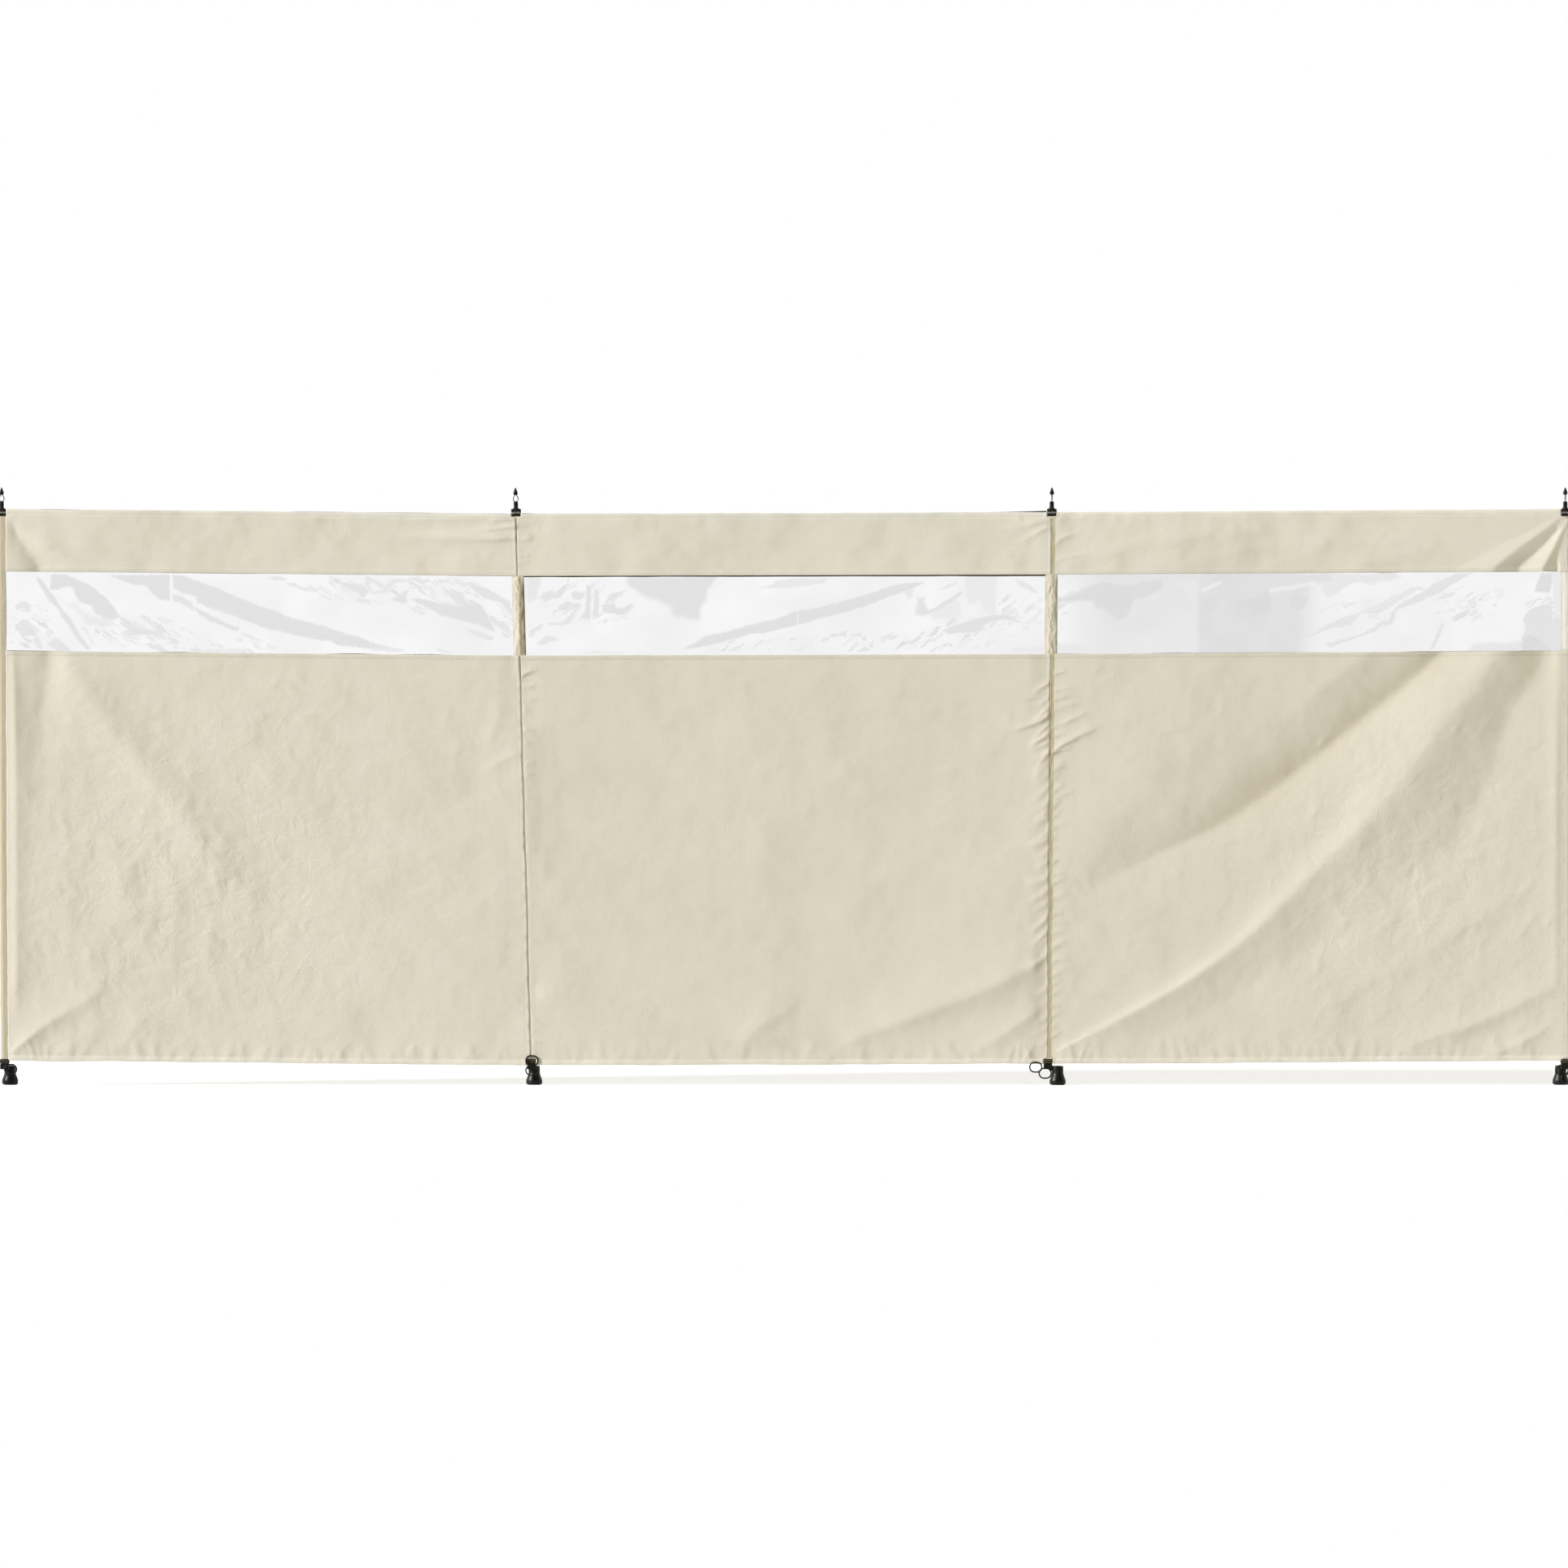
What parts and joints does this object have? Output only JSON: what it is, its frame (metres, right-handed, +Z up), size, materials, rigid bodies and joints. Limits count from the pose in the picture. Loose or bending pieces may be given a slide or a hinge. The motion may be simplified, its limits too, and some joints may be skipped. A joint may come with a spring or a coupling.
{
  "type": "beach windbreak",
  "caption": "Cloth beach windbreak in bays between upright poles, with a clear window strip near the top, moulded feet with peg rings and guy-line eyes on the pole tops.",
  "frame": {"origin": "centre of the flat sole of the first foot, on the ground", "axes": "+X along the wall towards the last pole, +Z up, -Y the windward face with the peg rings"},
  "size_m": [3.9911, 0.06, 1.5135],
  "materials": {
    "cloth": "plain-woven polyester, cream beige",
    "clear_film": "clear soft vinyl film, creased",
    "steel_tube": "zinc-coated steel tube",
    "webbing": "black-brown woven webbing",
    "moulding": "black satin moulding",
    "steel_pin": "bright plated steel"
  },
  "bodies": {
    "root": {"collar_1": "moulding", "collar_2": "moulding", "collar_3": "moulding", "collar_4": "moulding", "eye_pin_1": "steel_pin", "eye_pin_2": "steel_pin", "eye_pin_3": "steel_pin", "eye_pin_4": "steel_pin", "foot_1": "moulding", "foot_2": "moulding", "foot_3": "moulding", "foot_4": "moulding", "foot_band_1": "webbing", "foot_band_2": "webbing", "foot_band_3": "webbing", "foot_band_4": "webbing", "lower_cloth_1": "cloth", "lower_cloth_2": "cloth", "lower_cloth_3": "cloth", "peg_rings_1": "moulding", "peg_rings_2": "moulding", "peg_rings_3": "moulding", "peg_rings_4": "moulding", "pole_1": "steel_tube", "pole_2": "steel_tube", "pole_3": "steel_tube", "pole_4": "steel_tube", "sleeve_1": "cloth", "sleeve_2": "cloth", "sleeve_3": "cloth", "sleeve_4": "cloth", "tip_cap_1": "moulding", "tip_cap_2": "moulding", "tip_cap_3": "moulding", "tip_cap_4": "moulding", "top_band_1": "webbing", "top_band_2": "webbing", "top_band_3": "webbing", "top_band_4": "webbing", "upper_cloth_1": "cloth", "upper_cloth_2": "cloth", "upper_cloth_3": "cloth", "window_1": "clear_film", "window_2": "clear_film", "window_3": "clear_film"}
  },
  "joints": []
}
